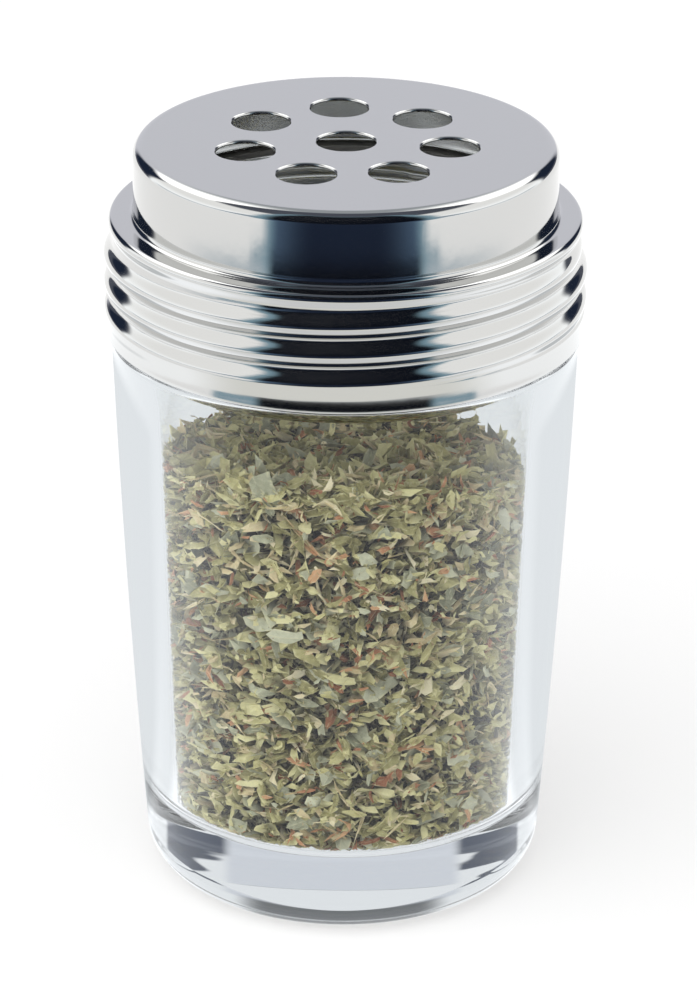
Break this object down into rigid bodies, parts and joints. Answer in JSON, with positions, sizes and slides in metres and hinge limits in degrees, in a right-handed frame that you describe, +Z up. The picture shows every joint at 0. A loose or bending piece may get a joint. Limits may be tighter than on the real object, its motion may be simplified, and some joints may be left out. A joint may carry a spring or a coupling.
{
  "type": "spice shaker",
  "caption": "Tapered clear glass spice shaker with a heavy base, a screw-on pressed steel lid with round pour holes in its raised top, and a fill of dried herb flakes.",
  "frame": {"origin": "centre of the base, on the plane that the jar stands on", "axes": "+Z up along the shared axis of jar and lid; +X is the right-hand side of the jar seen from the front, +Y points to its back"},
  "size_m": [0.0662, 0.0662, 0.108],
  "materials": {
    "clear_glass": "clear, fire polished",
    "polished_steel": "mirror polished skirt and drum, satin top",
    "seal_plastic": "grey, matt",
    "dried_herbs": "loose dried leaf flakes, matt"
  },
  "bodies": {
    "jar": {"glass_jar": "clear_glass", "herb_fill": "dried_herbs"},
    "seal": {"seal_ring": "seal_plastic"},
    "lid": {"screw_lid": "polished_steel"}
  },
  "joints": [
    {"name": "lid_lift", "type": "slide", "parent": "jar", "child": "seal", "axis": [0, 0, 1], "range_m": [0, 0.008]},
    {"name": "lid_turn", "type": "hinge", "parent": "seal", "child": "lid", "pos_m": [0, 0, 0], "axis": [0, 0, 1], "range_deg": [0, 720]}
  ],
  "couplings": [
    {"joint": "lid_lift", "follows": "lid_turn", "m_per_rad": 0.00063662}
  ]
}
